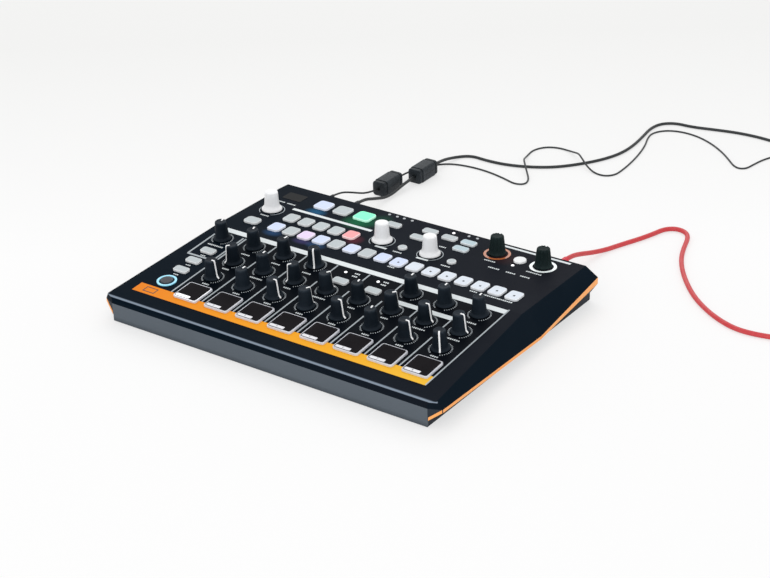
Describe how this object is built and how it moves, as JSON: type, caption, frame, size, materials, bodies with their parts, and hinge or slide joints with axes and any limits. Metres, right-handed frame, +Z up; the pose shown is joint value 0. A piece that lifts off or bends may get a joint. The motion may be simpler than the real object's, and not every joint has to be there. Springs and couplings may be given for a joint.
{
  "type": "drum machine",
  "caption": "Table-top drum machine with a folded control deck, turning knobs, drum pads, sprung buttons, rear sockets and plugged leads.",
  "frame": {"origin": "middle of the footprint at the table", "axes": "+X to the right, +Y to the rear with the sockets, +Z up"},
  "size_m": [0.5397, 0.6385, 0.0474],
  "materials": {
    "shell_dark": "fine textured dark plastic",
    "shell_base": "fine textured slate plastic",
    "trim_orange": "satin orange",
    "knob_black": "soft-touch black",
    "knob_white": "satin white",
    "knob_large": "soft-touch black",
    "pad_rubber": "soft rubber",
    "frame_clear": "milky translucent",
    "button_white": "satin translucent",
    "light_lens": "clear lens",
    "window": "smoked window",
    "board_green": "solder mask",
    "component": "moulded component body",
    "foot_rubber": "rubber",
    "socket_black": "moulded socket",
    "lead_black": "soft PVC",
    "lead_red": "soft PVC",
    "plug_black": "moulded plug",
    "ferrite_shell": "moulded shell"
  },
  "bodies": {
    "root": {"top_shell": "shell_dark", "bottom_shell": "shell_base", "accent_trims": "trim_orange", "pad_frames": "frame_clear", "display_window": "window", "indicator_lights": "light_lens", "control_bodies": "component", "control_boards": "board_green", "feet": "foot_rubber", "rear_sockets": "socket_black", "power_lead": "lead_black", "power_lead_coil": "lead_black", "sync_lead": "lead_black", "sync_lead_coil": "lead_black", "patch_lead": "lead_red", "patch_lead_coil": "lead_red", "lead_plugs": "plug_black", "end_plugs": "plug_black", "ferrite_cores": "ferrite_shell"},
    "knob_a1": {"knob_a1": "knob_black"},
    "knob_a2": {"knob_a2": "knob_black"},
    "knob_a3": {"knob_a3": "knob_black"},
    "knob_a6": {"knob_a6": "knob_black"},
    "knob_a7": {"knob_a7": "knob_black"},
    "knob_a8": {"knob_a8": "knob_black"},
    "knob_b1": {"knob_b1": "knob_black"},
    "knob_b2": {"knob_b2": "knob_black"},
    "knob_b3": {"knob_b3": "knob_black"},
    "knob_b4": {"knob_b4": "knob_black"},
    "knob_b5": {"knob_b5": "knob_black"},
    "knob_b6": {"knob_b6": "knob_black"},
    "knob_b7": {"knob_b7": "knob_black"},
    "knob_b8": {"knob_b8": "knob_black"},
    "knob_c1": {"knob_c1": "knob_black"},
    "knob_c2": {"knob_c2": "knob_black"},
    "knob_c3": {"knob_c3": "knob_black"},
    "knob_c4": {"knob_c4": "knob_black"},
    "knob_c5": {"knob_c5": "knob_black"},
    "knob_c6": {"knob_c6": "knob_black"},
    "knob_c7": {"knob_c7": "knob_black"},
    "knob_c8": {"knob_c8": "knob_black"},
    "knob_tempo": {"knob_tempo": "knob_black"},
    "encoder_left": {"encoder_left": "knob_white"},
    "encoder_middle": {"encoder_middle": "knob_white"},
    "encoder_right": {"encoder_right": "knob_white"},
    "output_knob_left": {"output_knob_left": "knob_large"},
    "output_knob_right": {"output_knob_right": "knob_large"},
    "pad_1": {"pad_1": "pad_rubber"},
    "pad_2": {"pad_2": "pad_rubber"},
    "pad_3": {"pad_3": "pad_rubber"},
    "pad_4": {"pad_4": "pad_rubber"},
    "pad_5": {"pad_5": "pad_rubber"},
    "pad_6": {"pad_6": "pad_rubber"},
    "pad_7": {"pad_7": "pad_rubber"},
    "pad_8": {"pad_8": "pad_rubber"},
    "step_buttons": {"step_buttons": "button_white"},
    "mode_buttons": {"mode_buttons": "button_white"},
    "transport_buttons": {"transport_buttons": "button_white"},
    "function_buttons": {"function_buttons": "button_white"},
    "round_buttons": {"round_buttons": "button_white"}
  },
  "joints": [
    {"name": "knob_a1_turn", "type": "hinge", "parent": "root", "child": "knob_a1", "pos_m": [-0.0952, 0.00093, 0.03013], "axis": [0, -0.0698, 0.9976], "range_deg": [-165, 135]},
    {"name": "knob_a2_turn", "type": "hinge", "parent": "root", "child": "knob_a2", "pos_m": [-0.06455, 0.00093, 0.03013], "axis": [0, -0.0698, 0.9976], "range_deg": [-130, 170]},
    {"name": "knob_a3_turn", "type": "hinge", "parent": "root", "child": "knob_a3", "pos_m": [-0.0339, 0.00093, 0.03013], "axis": [0, -0.0698, 0.9976], "range_deg": [0, 300]},
    {"name": "knob_a6_turn", "type": "hinge", "parent": "root", "child": "knob_a6", "pos_m": [0.05805, 0.00093, 0.03013], "axis": [0, -0.0698, 0.9976], "range_deg": [-150, 150]},
    {"name": "knob_a7_turn", "type": "hinge", "parent": "root", "child": "knob_a7", "pos_m": [0.0887, 0.00093, 0.03013], "axis": [0, -0.0698, 0.9976], "range_deg": [-150, 150]},
    {"name": "knob_a8_turn", "type": "hinge", "parent": "root", "child": "knob_a8", "pos_m": [0.11935, 0.00093, 0.03013], "axis": [0, -0.0698, 0.9976], "range_deg": [-150, 150]},
    {"name": "knob_b1_turn", "type": "hinge", "parent": "root", "child": "knob_b1", "pos_m": [-0.0952, -0.026, 0.02825], "axis": [0, -0.0698, 0.9976], "range_deg": [-300, 0]},
    {"name": "knob_b2_turn", "type": "hinge", "parent": "root", "child": "knob_b2", "pos_m": [-0.06455, -0.026, 0.02825], "axis": [0, -0.0698, 0.9976], "range_deg": [-150, 150]},
    {"name": "knob_b3_turn", "type": "hinge", "parent": "root", "child": "knob_b3", "pos_m": [-0.0339, -0.026, 0.02825], "axis": [0, -0.0698, 0.9976], "range_deg": [-300, 0]},
    {"name": "knob_b4_turn", "type": "hinge", "parent": "root", "child": "knob_b4", "pos_m": [-0.00325, -0.026, 0.02825], "axis": [0, -0.0698, 0.9976], "range_deg": [-110, 190]},
    {"name": "knob_b5_turn", "type": "hinge", "parent": "root", "child": "knob_b5", "pos_m": [0.0274, -0.026, 0.02825], "axis": [0, -0.0698, 0.9976], "range_deg": [-160, 140]},
    {"name": "knob_b6_turn", "type": "hinge", "parent": "root", "child": "knob_b6", "pos_m": [0.05805, -0.026, 0.02825], "axis": [0, -0.0698, 0.9976], "range_deg": [-100, 200]},
    {"name": "knob_b7_turn", "type": "hinge", "parent": "root", "child": "knob_b7", "pos_m": [0.0887, -0.026, 0.02825], "axis": [0, -0.0698, 0.9976], "range_deg": [-55, 245]},
    {"name": "knob_b8_turn", "type": "hinge", "parent": "root", "child": "knob_b8", "pos_m": [0.11935, -0.026, 0.02825], "axis": [0, -0.0698, 0.9976], "range_deg": [-55, 245]},
    {"name": "knob_c1_turn", "type": "hinge", "parent": "root", "child": "knob_c1", "pos_m": [-0.0952, -0.05224, 0.02641], "axis": [0, -0.0698, 0.9976], "range_deg": [-50, 250]},
    {"name": "knob_c2_turn", "type": "hinge", "parent": "root", "child": "knob_c2", "pos_m": [-0.06455, -0.05224, 0.02641], "axis": [0, -0.0698, 0.9976], "range_deg": [-140, 160]},
    {"name": "knob_c3_turn", "type": "hinge", "parent": "root", "child": "knob_c3", "pos_m": [-0.0339, -0.05224, 0.02641], "axis": [0, -0.0698, 0.9976], "range_deg": [-50, 250]},
    {"name": "knob_c4_turn", "type": "hinge", "parent": "root", "child": "knob_c4", "pos_m": [-0.00325, -0.05224, 0.02641], "axis": [0, -0.0698, 0.9976], "range_deg": [-110, 190]},
    {"name": "knob_c5_turn", "type": "hinge", "parent": "root", "child": "knob_c5", "pos_m": [0.0274, -0.05224, 0.02641], "axis": [0, -0.0698, 0.9976], "range_deg": [-50, 250]},
    {"name": "knob_c6_turn", "type": "hinge", "parent": "root", "child": "knob_c6", "pos_m": [0.05805, -0.05224, 0.02641], "axis": [0, -0.0698, 0.9976], "range_deg": [-160, 140]},
    {"name": "knob_c7_turn", "type": "hinge", "parent": "root", "child": "knob_c7", "pos_m": [0.0887, -0.05224, 0.02641], "axis": [0, -0.0698, 0.9976], "range_deg": [-50, 250]},
    {"name": "knob_c8_turn", "type": "hinge", "parent": "root", "child": "knob_c8", "pos_m": [0.11935, -0.05224, 0.02641], "axis": [0, -0.0698, 0.9976], "range_deg": [0, 300]},
    {"name": "knob_tempo_turn", "type": "hinge", "parent": "root", "child": "knob_tempo", "pos_m": [-0.1272, -0.00047, 0.03003], "axis": [0, -0.0698, 0.9976], "range_deg": [-155, 145]},
    {"name": "encoder_left_turn", "type": "hinge", "parent": "root", "child": "encoder_left", "pos_m": [-0.126, 0.06378, 0.03038], "axis": [0, 0.0175, 0.9998], "continuous": true},
    {"name": "encoder_middle_turn", "type": "hinge", "parent": "root", "child": "encoder_middle", "pos_m": [-0.0134, 0.06388, 0.03038], "axis": [0, 0.0175, 0.9998], "continuous": true},
    {"name": "encoder_right_turn", "type": "hinge", "parent": "root", "child": "encoder_right", "pos_m": [0.033, 0.06388, 0.03038], "axis": [0, 0.0175, 0.9998], "continuous": true},
    {"name": "output_knob_left_turn", "type": "hinge", "parent": "root", "child": "output_knob_left", "pos_m": [0.0772, 0.09388, 0.02986], "axis": [0, 0.0175, 0.9998], "range_deg": [-150, 150]},
    {"name": "output_knob_right_turn", "type": "hinge", "parent": "root", "child": "output_knob_right", "pos_m": [0.1196, 0.09368, 0.02986], "axis": [0, 0.0175, 0.9998], "range_deg": [-150, 150]},
    {"name": "pad_1_press", "type": "slide", "parent": "root", "child": "pad_1", "axis": [0, 0.0698, -0.9976], "range_m": [0, 0.0012], "stiffness_N_per_m": 900},
    {"name": "pad_2_press", "type": "slide", "parent": "root", "child": "pad_2", "axis": [0, 0.0698, -0.9976], "range_m": [0, 0.0012], "stiffness_N_per_m": 900},
    {"name": "pad_3_press", "type": "slide", "parent": "root", "child": "pad_3", "axis": [0, 0.0698, -0.9976], "range_m": [0, 0.0012], "stiffness_N_per_m": 900},
    {"name": "pad_4_press", "type": "slide", "parent": "root", "child": "pad_4", "axis": [0, 0.0698, -0.9976], "range_m": [0, 0.0012], "stiffness_N_per_m": 900},
    {"name": "pad_5_press", "type": "slide", "parent": "root", "child": "pad_5", "axis": [0, 0.0698, -0.9976], "range_m": [0, 0.0012], "stiffness_N_per_m": 900},
    {"name": "pad_6_press", "type": "slide", "parent": "root", "child": "pad_6", "axis": [0, 0.0698, -0.9976], "range_m": [0, 0.0012], "stiffness_N_per_m": 900},
    {"name": "pad_7_press", "type": "slide", "parent": "root", "child": "pad_7", "axis": [0, 0.0698, -0.9976], "range_m": [0, 0.0012], "stiffness_N_per_m": 900},
    {"name": "pad_8_press", "type": "slide", "parent": "root", "child": "pad_8", "axis": [0, 0.0698, -0.9976], "range_m": [0, 0.0012], "stiffness_N_per_m": 900},
    {"name": "step_buttons_press", "type": "slide", "parent": "root", "child": "step_buttons", "axis": [0, -0.0175, -0.9998], "range_m": [0, 0.0006], "stiffness_N_per_m": 1500},
    {"name": "mode_buttons_press", "type": "slide", "parent": "root", "child": "mode_buttons", "axis": [0, -0.0175, -0.9998], "range_m": [0, 0.0006], "stiffness_N_per_m": 1500},
    {"name": "transport_buttons_press", "type": "slide", "parent": "root", "child": "transport_buttons", "axis": [0, -0.0175, -0.9998], "range_m": [0, 0.0006], "stiffness_N_per_m": 1500},
    {"name": "function_buttons_press", "type": "slide", "parent": "root", "child": "function_buttons", "axis": [0, 0, -1], "range_m": [0, 0.0006], "stiffness_N_per_m": 1500},
    {"name": "round_buttons_press", "type": "slide", "parent": "root", "child": "round_buttons", "axis": [0, 0, -1], "range_m": [0, 0.0006], "stiffness_N_per_m": 1500}
  ]
}
